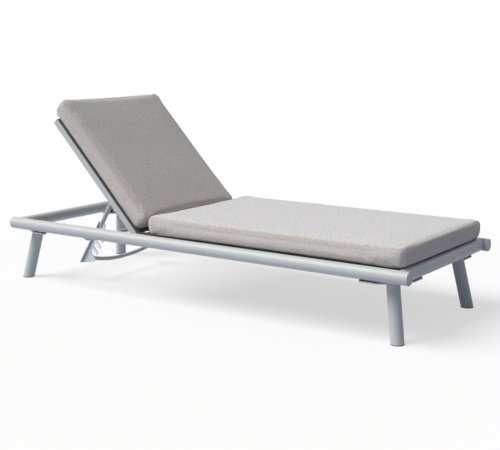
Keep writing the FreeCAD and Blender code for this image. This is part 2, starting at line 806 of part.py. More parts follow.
# Pivots of the prop
def make_prop_lugs():
    lugs = []
    half_lug = s.lug_width / 2
    for side_name, side in SIDES.items():
        for face_name, way in (("left", 1), ("right", -1)):
            name = f"lug_{side_name}_{face_name}"
            face = side * prop_y + way * lug_inner
            y_low = face if way > 0 else face - s.lug_thickness
            tongue = block(f"{name}_tongue", s.lug_width, s.lug_thickness, s.prop_behind,
                           s.prop_above - half_lug, y_low, -(half_depth + s.prop_behind),
                           back_frame)
            nose = rod(f"{name}_nose", half_lug, s.lug_thickness, s.prop_above, y_low,
                       -(half_depth + s.prop_behind), ACROSS, back_frame)
            eye = rod(f"{name}_eye", prop_pin_radius + s.press_clearance, s.lug_thickness,
                      s.prop_above, y_low, -(half_depth + s.prop_behind), ACROSS, back_frame)
            lugs.append(cut(name, fused(f"{name}_blank", [tongue, nose]), [eye]))
    keep(together("lug_set", lugs), "prop_lugs")


def make_prop_pins():
    pins = []
    bushes = []
    reach = lug_inner + s.lug_thickness
    for side_name, side in SIDES.items():
        name = f"prop_pin_{side_name}"
        x, z = prop_point.x, prop_point.z
        shaft = rod(f"{name}_shaft", prop_pin_radius, 2 * reach, x, side * prop_y - reach, z, ACROSS)
        heads = []
        for face_name, low in (("left", reach), ("right", -reach - s.prop_pin_head_thickness)):
            heads.append(rod(f"{name}_head_{face_name}", s.prop_pin_head_diameter / 2,
                             s.prop_pin_head_thickness, x, side * prop_y + low, z, ACROSS))
        pins.append(fused(name, [shaft] + heads))
        half_bush = strut_radius + s.lug_gap / 2
        sleeve = rod(f"{name}_sleeve", s.prop_bush_diameter / 2 - s.press_clearance,
                     2 * half_bush, x, side * prop_y - half_bush, z, ACROSS)
        bore = rod(f"{name}_sleeve_bore", prop_pin_radius + s.running_clearance, 2 * half_bush,
                   x, side * prop_y - half_bush, z, ACROSS)
        bushes.append(cut(f"{name}_bush", sleeve, [bore]))
    keep(together("prop_pin_pair", pins), "prop_pivot_pins")
    keep(together("prop_bush_pair", bushes), "prop_bushes")


# Prop, in its own frame: X down the strut, Y out to the teeth, Z to the right
prop_frame = FreeCAD.Placement(
    prop_point, FreeCAD.Rotation(prop_down, prop_out, prop_down.cross(prop_out), "XYZ"))


def make_struts():
    slot_depth = s.strut_length - s.rack_start
    for side_name, side in SIDES.items():
        name = f"strut_{side_name}"
        across = -side * prop_y
        length = s.strut_head + s.strut_length
        outer = rod(f"{name}_outer", strut_radius, length, -s.strut_head, 0, across,
                    ALONG, prop_frame)
        bore = rod(f"{name}_bore", strut_radius - s.strut_wall, length, -s.strut_head, 0, across,
                   ALONG, prop_frame)
        half_slot = s.rack_thickness / 2
        slot = block(f"{name}_slot", slot_depth, 2 * s.strut_diameter, s.rack_thickness,
                     s.rack_start, -s.strut_diameter, across - half_slot, prop_frame)
        flange_low = across - half_slot if side > 0 else across
        flange = block(f"{name}_flange_slot", slot_depth, s.rack_back, s.rack_flange,
                       s.rack_start, -2 * s.rack_back + s.rack_thickness,
                       flange_low - (s.rack_flange if side > 0 else 0), prop_frame)
        eye = rod(f"{name}_eye", s.prop_bush_diameter / 2, s.strut_diameter, 0, 0,
                  across - strut_radius, UP, prop_frame)
        keep(cut(f"{name}_tube", outer, [bore, slot, flange, eye]), f"prop_strut_{side_name}")


def wall_point(start, out):
    """A point of a notch's slanted wall, at a distance out from the strut's axis."""
    share = (float(out) - float(s.notch_bottom)) / (float(s.tooth_tip) - float(s.notch_bottom))
    return (start + s.notch_slant * share, out)


def rack_corners():
    """The rack's outline: down the back, up the notched front."""
    back = -s.rack_back
    chamfer = s.tooth_chamfer
    round_out = s.notch_bottom + s.notch_round
    last_low = s.notch_start + s.notch_width + (NOTCH_COUNT - 1) * s.notch_pitch
    corners = [
        (s.rack_start, back),
        (s.rack_start, s.notch_bottom),
        (s.rack_hook_top, s.notch_bottom + chamfer / 2),
        (s.rack_hook_top + chamfer, s.rack_hook_out - chamfer),
        (s.rack_start + chamfer, s.rack_hook_out),
        wall_point(s.notch_start, s.rack_hook_out),
    ]
    for index in range(NOTCH_COUNT):
        upper = s.notch_start + index * s.notch_pitch
        lower = upper + s.notch_width
        corners.append(wall_point(upper, round_out))
        corners.append(wall_point(upper + s.notch_width / 2, s.notch_bottom)
                       + wall_point(lower, round_out))
        corners.append(wall_point(lower, s.tooth_tip - chamfer))
        if index < NOTCH_COUNT - 1:
            tip_low = wall_point(lower, s.tooth_tip)[0]
            tip_high = wall_point(upper + s.notch_pitch, s.tooth_tip)[0]
            corners.append((tip_low + chamfer, s.tooth_tip))
            corners.append((tip_high - chamfer, s.tooth_tip))
            corners.append(wall_point(upper + s.notch_pitch, s.tooth_tip - chamfer))
    lobe = s.prop_bow_diameter
    corners.append((last_low + s.notch_slant + chamfer, s.tooth_tip + chamfer / 2))
    corners.append((last_low + s.notch_slant + lobe, s.tooth_tip))
    corners.append((s.rack_end - s.notch_pitch, s.tooth_tip - s.rack_back))
    corners.append((s.rack_end, -s.rack_back / 2))
    corners.append((s.rack_end, back))
    return corners


def make_racks():
    for side_name, side in SIDES.items():
        name = f"prop_rack_{side_name}"
        body = doc.addObject("PartDesign::Body", f"{name}_body")
        sketch = sketch_on(body, f"{name}_outline")
        draw_outline(sketch, rack_corners())
        pad(body, sketch, s.rack_thickness, both_ways=True)
        flange_sketch = sketch_on(body, f"{name}_flange_outline")
        back = -s.rack_back
        draw_outline(flange_sketch, [
            (s.rack_start, back),
            (s.rack_start, back + s.rack_thickness),
            (s.rack_end, back + s.rack_thickness),
            (s.rack_end, back),
        ])
        flange = pad(body, flange_sketch, s.rack_flange)
        flange.Reversed = side > 0
        place(body, 0, 0, -side * prop_y, frame=prop_frame)
        keep(body, name)


# Bows: bent round bars
def bent_bar(radius, edges):
    """A round bar along lines and arcs that meet smoothly."""
    path = Part.Wire([edge.toShape() for edge in edges])
    first = path.OrderedEdges[0]
    start = path.OrderedVertexes[0].Point
    heading = first.tangentAt(first.FirstParameter)
    section = Part.Wire([Part.Circle(start, heading, float(radius)).toShape()])
    return path.makePipeShell([section], True, False)


def make_prop_bow():
    reach = prop_y - s.rack_thickness / 2
    overrun = s.rack_thickness
    base = prop_point + prop_down * s.prop_bow_along + prop_out * s.prop_bow_out
    lowest = base + prop_down * s.prop_bow_dip
    left = base + ACROSS * (reach + overrun)
    right = base - ACROSS * (reach + overrun)
    long_bow = bent_bar(s.prop_bow_diameter / 2, [Part.Arc(left, lowest, right)])
    slab = Part.makeBox(s.overall_length, 2 * reach, s.overall_length,
                        FreeCAD.Vector(-s.overall_length, -reach, -s.overall_length / 2))
    feature = doc.addObject("Part::Feature", "bow_between_racks")
    feature.Shape = long_bow.common(slab)
    keep(feature, "prop_bow")


def make_catch_bow():
    climb = math.atan2(s.rail_height - catch_point.z, s.catch_bow_arm)
    tangent = s.catch_bow_bend * math.tan(climb / 2)
    straight = rail_y - s.catch_bow_arm - tangent
    bends = {}
    for side in SIDES.values():
        low = FreeCAD.Vector(catch_point.x, side * straight, catch_point.z)
        middle = low + FreeCAD.Vector(0, side * s.catch_bow_bend * math.sin(climb / 2),
                                      s.catch_bow_bend * (1 - math.cos(climb / 2)))
        high = low + FreeCAD.Vector(0, side * s.catch_bow_bend * math.sin(climb),
                                    s.catch_bow_bend * (1 - math.cos(climb)))
        rail_axis = FreeCAD.Vector(catch_point.x, side * rail_y, s.rail_height)
        bends[side] = (low, middle, high, rail_axis)
    left_low, left_middle, left_high, left_axis = bends[SIDES["left"]]
    right_low, right_middle, right_high, right_axis = bends[SIDES["right"]]
    long_bow = bent_bar(s.catch_bow_diameter / 2, [
        Part.LineSegment(left_axis, left_high),
        Part.Arc(left_high, left_middle, left_low),
        Part.LineSegment(left_low, right_low),
        Part.Arc(right_low, right_middle, right_high),
        Part.LineSegment(right_high, right_axis),
    ])
    for side in SIDES.values():
        centre = FreeCAD.Vector(catch_point.x - s.rail_diameter, side * rail_y, s.rail_height)
        long_bow = long_bow.cut(Part.makeCylinder(rail_radius, 2 * s.rail_diameter, centre, ALONG))
    feature = doc.addObject("Part::Feature", "bow_between_rails")
    feature.Shape = max(long_bow.Solids, key=lambda solid: solid.Volume)
    keep(feature, "catch_bow")


# Cushions: boxed, crowned on top, with sides that draw in between the corners
def cushion_outline(half_length, half_width, corner, draw, rise):
    """A rounded rectangle with slightly hollow sides, centred on the local origin."""
    diagonal = corner * (1 - math.sqrt(0.5))
    quarter = [
        (-half_length + corner, -half_width), (0, -half_width + draw),
        (half_length - corner, -half_width), (half_length - diagonal, -half_width + diagonal),
        (half_length, -half_width + corner), (half_length - draw, 0),
        (half_length, half_width - corner), (half_length - diagonal, half_width - diagonal),
    ]
    points = quarter + [(-x, -y) for x, y in quarter]
    places = [FreeCAD.Vector(x, y, rise) for x, y in points]
    edges = []
    for start in range(0, len(places), 2):
        stop = (start + 2) % len(places)
        edges.append(Part.Arc(places[start], places[start + 1], places[stop]).toShape())
    return Part.Wire(edges)


def cushion_shape(length, width, thickness, taper, base_round):
    """Outlines from the flat base, round the lower edge, up the side and over the crown."""
    half_length = float(length) / 2
    half_width = float(width) / 2
    edge = float(s.cushion_edge)
    base_rise = float(s.cushion_base_rise)
    corner = float(s.cushion_corner)
    draw = float(s.cushion_draw)
    crown = float(s.cushion_crown)
    seam_height = float(thickness) - crown
    levels = []
    for rise_share, inset_share in EDGE_SHARES:
        levels.append((base_rise * rise_share, float(base_round) * inset_share + float(taper)))
    levels.append((seam_height / 2, float(taper) / 2 - float(s.cushion_bulge)))
    for rise_share, inset_share in reversed(EDGE_SHARES):
        levels.append((seam_height - edge * rise_share, edge * inset_share))
    for rise_share, inset_share in CROWN_SHARES:
        levels.append((seam_height + crown * rise_share, edge + half_width * inset_share))
    wires = []
    for rise, inset in levels:
        wires.append(cushion_outline(half_length - inset, half_width - inset, corner, draw, rise))
    return Part.makeLoft(wires, True, True)


def make_seat_cushion():
    rear = hinge_x + s.seat_cushion_gap
    foot = s.overall_length / 2 - s.seat_cushion_setback
    feature = doc.addObject("Part::Feature", "seat_pad")
    feature.Shape = cushion_shape(foot - rear, seat_cushion_width, s.seat_cushion_thickness,
                                  s.seat_cushion_taper, s.seat_cushion_base_round)
    place(feature, (rear + foot) / 2, 0, deck_top + s.seat_clearance)
    keep(feature, "seat_cushion")


def make_back_cushion():
    feature = doc.addObject("Part::Feature", "back_pad")
    feature.Shape = cushion_shape(s.back_cushion_length, back_cushion_width,
                                  s.back_cushion_thickness, s.back_cushion_taper,
                                  s.back_cushion_base_round)
    place(feature, s.back_cushion_start + s.back_cushion_length / 2, 0,
          half_depth + s.seat_clearance, frame=back_frame)
    keep(feature, "back_cushion")


def check_document():
    """Stop on any object that failed and on any sub-part without a sound shape."""
    for thing in doc.Objects:
        if "Invalid" in thing.State or "Error" in thing.State:
            raise RuntimeError(f"{thing.Name}: {thing.State}")
    for name, thing in parts.items():
        if thing.Shape.isNull() or not thing.Shape.isValid():
            raise RuntimeError(f"{name} has no valid shape")
        if not thing.Shape.Solids:
            raise RuntimeError(f"{name} has no solid")


def write_parts():
    os.makedirs("parts", exist_ok=True)
    for name, thing in parts.items():
        thing.Shape.exportStep(f"parts/{name}.step")


make_side_rails()
make_end_caps()
make_cross_tubes()
make_corner_plates()
corner_inserts = make_corner_fixings()
make_legs()
make_deck_profiles()
make_profile_caps()
make_deck_bars()
make_sling("seat_sling", deck_rear + s.plug_cap_length,
           deck_foot - deck_rear - 2 * s.plug_cap_length, deck_top)
deck_inserts = make_deck_fixings()
keep(together("insert_set", corner_inserts + deck_inserts), "rail_inserts")
make_hinges()
make_back_stiles()
make_back_bars()
make_sling("back_sling", s.bottom_bar_above,
           s.stile_above - s.bottom_bar_above - s.plug_cap_length, half_depth, back_frame)
make_prop_lugs()
make_prop_pins()
make_struts()
make_racks()
make_prop_bow()
make_catch_bow()
make_seat_cushion()
make_back_cushion()
doc.recompute()
check_document()
write_parts()

box = Part.makeCompound([thing.Shape for thing in parts.values()]).BoundBox
print(f"{len(parts)} sub-parts, {box.XLength:.1f} x {box.YLength:.1f} x {box.ZLength:.1f} mm")
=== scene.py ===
"""Looks of the adjustable sun lounger: cushions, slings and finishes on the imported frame."""
import json
import math
import bpy
import numpy as np
from mathutils import Matrix, Vector, noise


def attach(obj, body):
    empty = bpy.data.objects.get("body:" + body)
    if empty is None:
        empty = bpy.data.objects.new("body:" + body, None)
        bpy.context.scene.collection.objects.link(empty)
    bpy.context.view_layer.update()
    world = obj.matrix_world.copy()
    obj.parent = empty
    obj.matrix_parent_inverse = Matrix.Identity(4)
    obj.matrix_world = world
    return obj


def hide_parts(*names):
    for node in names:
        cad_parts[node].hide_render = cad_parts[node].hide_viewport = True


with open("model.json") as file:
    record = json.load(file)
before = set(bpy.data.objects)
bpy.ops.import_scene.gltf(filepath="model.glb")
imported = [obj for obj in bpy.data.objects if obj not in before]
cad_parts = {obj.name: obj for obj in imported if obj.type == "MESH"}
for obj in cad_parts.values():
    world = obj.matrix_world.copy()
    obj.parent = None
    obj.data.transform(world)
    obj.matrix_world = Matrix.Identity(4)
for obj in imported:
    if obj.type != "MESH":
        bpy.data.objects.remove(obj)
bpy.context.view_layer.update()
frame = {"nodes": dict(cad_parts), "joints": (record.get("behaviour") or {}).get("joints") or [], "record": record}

MM = 0.001
ACROSS = Vector((0, 1, 0))

# The raised back, and a frame of its own: X up the stiles, Y to the right, Z to the front
BACK_ANGLE = math.radians(46.1)
HINGE = Vector(next(joint["pos_m"] for joint in frame["joints"] if joint["name"] == "back_hinge"))
back_up = Vector((-math.cos(BACK_ANGLE), 0, math.sin(BACK_ANGLE)))
back_front = Vector((math.sin(BACK_ANGLE), 0, math.cos(BACK_ANGLE)))
LEVEL_FRAME = Matrix.Identity(4)
BACK_FRAME = Matrix.Translation(HINGE) @ Matrix((back_up, -ACROSS, back_front)).transposed().to_4x4()


def local_box(node, place):
    """Lowest and highest corner of a CAD node in a tilted frame."""
    inverse = place.inverted()
    points = [inverse @ vertex.co for vertex in frame["nodes"][node].data.vertices]
    low = Vector([min(point[axis] for point in points) for axis in range(3)])
    high = Vector([max(point[axis] for point in points) for axis in range(3)])
    return low, high


# Shader maths
class Signal:
    """An output socket of a finish, with arithmetic that adds Math nodes."""

    def __init__(self, finish, socket):
        self.finish = finish
        self.socket = socket

    def out(self, name):
        """Another output of the same node."""
        return Signal(self.finish, self.socket.node.outputs[name])

    def maths(self, operation, first, second=0.0):
        return self.finish.node("ShaderNodeMath", {"operation": operation}, {0: first, 1: second})

    def __add__(self, other):
        return self.maths("ADD", self, other)

    def __radd__(self, other):
        return self.maths("ADD", other, self)

    def __sub__(self, other):
        return self.maths("SUBTRACT", self, other)

    def __rsub__(self, other):
        return self.maths("SUBTRACT", other, self)

    def __mul__(self, other):
        return self.maths("MULTIPLY", self, other)

    def __rmul__(self, other):
        return self.maths("MULTIPLY", other, self)

    def __gt__(self, other):
        return self.maths("GREATER_THAN", self, other)

    def __lt__(self, other):
        return self.maths("LESS_THAN", self, other)

    def __pow__(self, other):
        return self.maths("POWER", self, other)

    def __abs__(self):
        return self.maths("ABSOLUTE", self)

    def fraction(self):
        return self.maths("FRACT", self)

    def floor(self):
        return self.maths("FLOOR", self)

    def sine(self):
        return self.maths("SINE", self)

    def exponent(self):
        return self.maths("EXPONENT", self)


class Finish:
    """The nodes of a material, or of the world."""

    def __init__(self, data):
        data.use_nodes = True
        self.data = data
        self.tree = data.node_tree
        self.tree.nodes.clear()

    def node(self, kind, settings=None, sockets=None, output=0):
        """Any node: its settings first, then the values or links of its sockets."""
        made = self.tree.nodes.new(kind)
        for name, value in (settings or {}).items():
            if name == "stops":
                self.set_stops(made.color_ramp, value)
            else:
                setattr(made, name, value)
        for name, value in (sockets or {}).items():
            if isinstance(value, Signal):
                self.tree.links.new(value.socket, made.inputs[name])
            else:
                made.inputs[name].default_value = value
        if len(made.outputs):
            return Signal(self, made.outputs[output])
        return None

    @staticmethod
    def set_stops(ramp, stops):
        while len(ramp.elements) < len(stops):
            ramp.elements.new(0.5)
        for element, (position, colour) in zip(ramp.elements, stops):
            element.position = position
            element.color = colour

    def noise(self, vector, scale, detail=2.0, rough=0.5):
        """Soft noise about 0.5."""
        return self.node("ShaderNodeTexNoise", {}, {
            "Vector": vector, "Scale": scale, "Detail": detail, "Roughness": rough}, "Fac")

    def colours(self, factor, first, second):
        """A mix of two colours."""
        return self.node("ShaderNodeMix", {"data_type": "RGBA"}, {0: factor, 6: first, 7: second}, 2)

    def shaded(self, colour, factor):
        """A colour made lighter or darker by a factor."""
        grey = self.node("ShaderNodeCombineColor", {}, {0: factor, 1: factor, 2: factor})
        return self.node("ShaderNodeMix", {"data_type": "RGBA", "blend_type": "MULTIPLY"},
                         {0: 1.0, 6: colour, 7: grey}, 2)

    def vector(self, x, y, z=0.0):
        return self.node("ShaderNodeCombineXYZ", {}, {0: x, 1: y, 2: z})

    def split(self, vector):
        """The X part of a vector; out() gives the Y and Z parts."""
        return self.node("ShaderNodeSeparateXYZ", {}, {0: vector}, "X")

    def place(self):
        """Where a point is on the object, in metres."""
        return self.node("ShaderNodeTexCoord", {}, {}, "Object")

    def facing(self):
        """The X part of the way that the surface faces; out() gives the Y and Z parts."""
        return self.split(self.node("ShaderNodeTexCoord", {}, {}, "Normal"))

    def passage(self, value, start, full, low=0.0, high=1.0, kind="SMOOTHSTEP"):
        """Low before the start, high once the value is full, and a passage between them."""
        return self.node("ShaderNodeMapRange", {"interpolation_type": kind}, {
            "Value": value, "From Min": start, "From Max": full, "To Min": low, "To Max": high})

    def bump(self, height, distance, strength=1.0):
        return self.node("ShaderNodeBump", {}, {
            "Height": height, "Distance": distance, "Strength": strength}, "Normal")

    def surface(self, **sockets):
        """Close the material with one shader."""
        names = {name.replace("_", " "): value for name, value in sockets.items()}
        shader = self.node("ShaderNodeBsdfPrincipled", {}, names)
        self.node("ShaderNodeOutputMaterial", {}, {"Surface": shader})
        return self.data


def new_finish(name):
    return Finish(bpy.data.materials.new(name))


def plain(red, green, blue):
    return (red, green, blue, 1.0)


# Finishes of the metal and plastic pieces
COAT_GREY = plain(0.545, 0.56, 0.555)
COAT_GREY_DEEP = plain(0.505, 0.52, 0.52)
# painted shade for the stile face under the back cushion
COAT_PAINTED_SHADE = plain(0.17, 0.17, 0.155)
# near-black coat of the deck profiles: painted shade for the gap between the cushion and the rails
PROFILE_SHADE_DEEP = plain(0.07, 0.062, 0.055)
PROFILE_SHADE_LIGHTER = plain(0.10, 0.09, 0.08)
RACK_WHITE = plain(0.93, 0.95, 0.99)
RACK_EDGE_SHADE = plain(0.42, 0.45, 0.56)
FLANGE_GREY_SHADED = plain(0.48, 0.495, 0.515)
PLASTIC_BLACK = plain(0.022, 0.022, 0.026)
PLASTIC_WORN = plain(0.05, 0.05, 0.055)
STEEL_GREY = plain(0.72, 0.73, 0.75)
STEEL_DARK = plain(0.60, 0.61, 0.63)
TUBE_ROUGHNESS = 0.42
PROFILE_ROUGHNESS = 0.5
RACK_ROUGHNESS = 0.36
CLOUD_SCALE = 9.0
GRAIN_SCALE = 1400.0
PEEL_SCALE = 420.0
PEEL_HEIGHT = 0.05 * MM
SCUFF_SCALE = 55.0
SCUFF_STOPS = [(0.60, plain(0, 0, 0)), (0.74, plain(1, 1, 1))]


def coat_clouds(finish):
    return finish.noise(finish.place(), CLOUD_SCALE, 3.0)


def coated_surface(finish, tone, clouds, roughness):
    """Satin coat over a tone: fine clouding, an orange-peel surface and a few dull scuffs."""
    place = finish.place()
    grain = finish.noise(place, GRAIN_SCALE, 2.0)
    peel = finish.noise(place, PEEL_SCALE, 1.0)
    scuffs = finish.node("ShaderNodeValToRGB", {"stops": SCUFF_STOPS},
                         {0: finish.noise(place, SCUFF_SCALE, 6.0, 0.7)})
    return finish.surface(
        Base_Color=finish.shaded(tone, 0.965 + 0.07 * grain),
        Roughness=roughness + 0.10 * clouds + 0.10 * scuffs - 0.05,
        Normal=finish.bump(grain * 0.35 + peel, PEEL_HEIGHT, 0.6),
        Specular_IOR_Level=0.5,
    )


def powder_coat(name, deep, light, roughness):
    """One coat all over a piece, clouded between two near tones."""
    finish = new_finish(name)
    clouds = coat_clouds(finish)
    return coated_surface(finish, finish.colours(clouds, deep, light), clouds, roughness)


# The stiles: the face under the back cushion is painted dark, as painted shade from the cushion
STILE_FACE_SHARE = 0.9


def stile_coat():
    finish = new_finish("powder_coat_stile")
    clouds = coat_clouds(finish)
    along = finish.facing()
    forward = along * back_front.x + along.out("Z") * back_front.z
    # painted shade on the stile faces that face the cushion
    under_cushion_shade = forward > STILE_FACE_SHARE
    tone = finish.colours(under_cushion_shade, finish.colours(clouds, COAT_GREY_DEEP, COAT_GREY), COAT_PAINTED_SHADE)
    return coated_surface(finish, tone, clouds, TUBE_ROUGHNESS)


# The racks: pale plates whose cut edges are painted darker as painted shade, and a grey folded flange along the
# back, a little darker than the frame's grey as painted shade on the fold
PROP_ANGLE = math.radians(58.5)
RACK_FLANGE_OUT = -2 * MM
RACK_FACE_SHARE = 0.6
prop_pivot = Vector(next(joint["pos_m"] for joint in frame["joints"] if joint["name"] == "prop_hinge"))


def rack_coat():
    finish = new_finish("rack_coat_pale")
    place = finish.split(finish.place())
    outward = ((place - prop_pivot.x) * math.sin(PROP_ANGLE)
               - (place.out("Z") - prop_pivot.z) * math.cos(PROP_ANGLE))
    across = abs(finish.facing().out("Y"))
    # faces that don't face across the plate get painted shade
    shaded_edge = across < RACK_FACE_SHARE
    # the flange in a grey a little darker than the frame: partly its own coat, partly painted shade
    flange = outward < RACK_FLANGE_OUT
    tone = finish.colours(flange, finish.colours(shaded_edge, RACK_WHITE, RACK_EDGE_SHADE), FLANGE_GREY_SHADED)
    return coated_surface(finish, tone, coat_clouds(finish), RACK_ROUGHNESS)


PLASTIC_GRAIN_SCALE = 2200.0
PLASTIC_GRAIN_HEIGHT = 0.04 * MM
RUBBED_SCALE = 60.0


def moulded_plastic():
    """Black moulded plastic with a fine spark-eroded grain, greyer where it is rubbed."""
    finish = new_finish("moulded_plastic")
    place = finish.place()
    grain = finish.noise(place, PLASTIC_GRAIN_SCALE, 2.0)
    rubbed = finish.noise(place, RUBBED_SCALE, 4.0, 0.6)
    colour = finish.colours(rubbed * 0.5, PLASTIC_BLACK, PLASTIC_WORN)
    return finish.surface(
        Base_Color=colour,
        Roughness=0.42 + 0.25 * rubbed,
        Normal=finish.bump(grain, PLASTIC_GRAIN_HEIGHT, 0.5),
    )


TURNING_SCALE = 3200.0
TURNING_HEIGHT = 0.006 * MM
STAIN_SCALE = 240.0


def turned_steel():
    """Stainless screws and pins with fine turning marks."""
    finish = new_finish("turned_steel")
    place = finish.place()
    marks = finish.noise(place, TURNING_SCALE, 2.0)
    stains = finish.noise(place, STAIN_SCALE, 3.0)
    return finish.surface(
        Base_Color=finish.colours(stains, STEEL_DARK, STEEL_GREY),
        Metallic=1.0,
        Roughness=0.36 + 0.12 * marks,
        Normal=finish.bump(marks, TURNING_HEIGHT, 0.4),
    )


# Cloth
TWILL_YARN = 1.5 * MM
TWILL_LIGHT = plain(0.90, 0.865, 0.83)
TWILL_MID = plain(0.66, 0.63, 0.60)
TWILL_DARK = plain(0.36, 0.34, 0.32)
SEAM_BROWN = plain(0.44, 0.38, 0.30)
# Painted light and shade on the cushions by the way each panel faces, and painted shade on the base
SEAT_PANEL_PAINTED_LIGHT = plain(1.065, 1.105, 1.17)
BACK_PANEL_PAINTED_LIGHT = plain(1.095, 1.075, 1.07)
SIDE_PAINTED_SHADE = plain(0.90, 0.875, 0.86)
FOOT_END_PAINTED_LIGHT = plain(1.25, 1.12, 1.04)
BASE_SHADE = plain(0.06, 0.058, 0.056)
SIDE_CALM = 0.6
STITCH_PITCH = 5 * MM
STITCH_OFFSET = 2.6 * MM
STITCH_HALF_WIDTH = 0.5 * MM
STITCH_FILL = 0.6
STITCH_SHARE = 0.25
JOIN_WIDTH = 1.3 * MM
JOIN_SHARE = 0.5
SLUB_SCALES = (620.0, 70.0)
STREAK_SCALES = (105.0, 520.0)
CLOTH_CLOUD_SCALE = 14.0
FUZZ_SCALE = 2600.0
TWILL_HEIGHT = 0.22 * MM


def cloth_axes(finish):
    """Two directions in the cloth, chosen by the way that the panel faces."""
    x = finish.split(finish.place())
    nx = finish.facing()
    along, across, rise = abs(nx), abs(nx.out("Y")), abs(nx.out("Z"))
    flat = (rise > along) * (rise > across)
    end = (1.0 - flat) * (along > across)
    first = x * (1.0 - end) + x.out("Y") * end
    second = x.out("Y") * flat + x.out("Z") * (1.0 - flat)
    return first, second


def weave(first, second, yarn, step, share):
    """Where the warp lies over the weft, and the round height of each."""
    warp = first * (1.0 / yarn)
    weft = second * (1.0 / yarn)
    over = ((warp.floor() + weft.floor()) * step).fraction() < share
    return over, abs((warp * math.pi).sine()), abs((weft * math.pi).sine())


def streaks(finish, first, second, scales, detail, rough):
    """Noise drawn out along the cloth."""
    return finish.noise(finish.vector(first * scales[0], second * scales[1]), 1.0, detail, rough)


def panel_painted_light(finish, panel, side):
    """Painted light and shade by the way that a panel faces: the top panel and the foot end lighter, the sides
    darker, and painted shade on the base.
    """
    x = finish.facing()
    rise = x.out("Z")
    top = finish.passage(rise, 0.85, 1.0)
    base = finish.passage(rise, -0.50, -0.85)
    end = finish.passage(x, 0.5, 0.9)
    edges = finish.colours(end, side, FOOT_END_PAINTED_LIGHT)
    return finish.colours(base, finish.colours(top, edges, panel), BASE_SHADE)


def seam_marks(finish, along):
    """How much of the sewing shows: the join itself, and a row of stitches beside it."""
    marks = 0.0
    for name in ("top_seam", "low_seam"):
        distance = finish.node("ShaderNodeAttribute", {"attribute_name": name}, {}, "Fac")
        join = (0.0 - (distance * (1.0 / JOIN_WIDTH)) ** 2.0).exponent()
        row = abs(distance - STITCH_OFFSET) < STITCH_HALF_WIDTH
        dash = (along * (1.0 / STITCH_PITCH)).fraction() < STITCH_FILL
        marks = marks + join * JOIN_SHARE + row * dash * STITCH_SHARE
    return finish.node("ShaderNodeClamp", {}, {"Value": marks})


def heathered_twill(name, panel):
    """Twill of mixed light and dark fibres: ribs, yarns, slubs, a faint cloudiness and the sewing."""
    finish = new_finish(name)
    first, second = cloth_axes(finish)
    over, warp_round, weft_round = weave(first, second, TWILL_YARN, 0.25, 0.5)
    height = over * warp_round + (1.0 - over) * weft_round * 0.85
    warp_slub = streaks(finish, first, second, SLUB_SCALES, 3.0, 0.65)
    weft_slub = streaks(finish, first, second, SLUB_SCALES[::-1], 3.0, 0.65)
    slub = over * warp_slub + (1.0 - over) * weft_slub
    long_streaks = streaks(finish, first, second, STREAK_SCALES, 2.0, 0.6)
    cross_streaks = streaks(finish, first, second, STREAK_SCALES[::-1], 2.0, 0.6)
    mottle = long_streaks * 0.5 + cross_streaks * 0.5
    clouds = finish.noise(finish.vector(first, second), CLOTH_CLOUD_SCALE, 2.0)
    calm = finish.passage(finish.facing().out("Z"), 0.35, 0.85, SIDE_CALM, 1.0, "LINEAR")
    mixed = slub * 0.35 + mottle * 0.65 - 0.5
    fibre = finish.node("ShaderNodeValToRGB", {"stops": [
        (0.40, TWILL_DARK), (0.50, TWILL_MID), (0.60, TWILL_LIGHT)]},
        {0: 0.5 + mixed * calm})
    marks = seam_marks(finish, first)
    # painted shade in the hollows between the yarns, and a faint random cloudiness
    shade = 0.80 + 0.16 * height + 0.12 * clouds
    fuzz = finish.noise(finish.place(), FUZZ_SCALE, 2.0)
    # painted light and shade by the way each panel faces
    painted_panel_light = panel_painted_light(finish, panel, SIDE_PAINTED_SHADE)
    tinted = finish.node("ShaderNodeMix", {"data_type": "RGBA", "blend_type": "MULTIPLY"}, {
        0: 1.0, 6: finish.colours(marks, fibre, SEAM_BROWN), 7: painted_panel_light}, 2)
    return finish.surface(
        Base_Color=finish.shaded(tinted, shade),
        Roughness=0.86 + 0.10 * slub,
        Normal=finish.bump(height + 0.35 * fuzz + 0.6 * slub, TWILL_HEIGHT, 0.7),
        Sheen_Weight=0.2,
        Sheen_Roughness=0.5,
        Specular_IOR_Level=0.25,
    )


SLING_YARN = 2.2 * MM
SLING_HEIGHT = 0.6 * MM
SLING_STREAK_SCALES = (40.0, 300.0)
SLING_BROWN = plain(0.105, 0.085, 0.070)
SLING_BROWN_CROWN_LIT = plain(0.20, 0.165, 0.14)


def coated_mesh():
    """Basket weave of coated yarn, shiny on the yarns' crowns, with painted light on the crowns and painted shade
    in the hollows.
    """
    finish = new_finish("coated_mesh")
    first, second = cloth_axes(finish)
    over, warp_round, weft_round = weave(first, second, SLING_YARN, 0.5, 0.25)
    height = over * warp_round + (1.0 - over) * weft_round
    streak = streaks(finish, first, second, SLING_STREAK_SCALES, 2.0, 0.5)
    # painted light on the yarn crowns, painted shade in the hollows between them
    colour = finish.colours(height * (0.55 + 0.45 * streak), SLING_BROWN, SLING_BROWN_CROWN_LIT)
    return finish.surface(
        Base_Color=colour,
        Roughness=0.62 - 0.2 * height,
        Normal=finish.bump(height, SLING_HEIGHT, 0.8),
    )


coat = powder_coat("powder_coat_grey", COAT_GREY_DEEP, COAT_GREY, TUBE_ROUGHNESS)
pale_coat = rack_coat()
plastic = moulded_plastic()
steel = turned_steel()
stiles_coat = stile_coat()
profiles_coat = powder_coat("powder_coat_dark", PROFILE_SHADE_DEEP, PROFILE_SHADE_LIGHTER, PROFILE_ROUGHNESS)
seat_cloth = heathered_twill("seat_twill", SEAT_PANEL_PAINTED_LIGHT)
back_cloth = heathered_twill("back_twill", BACK_PANEL_PAINTED_LIGHT)
sling_cloth = coated_mesh()

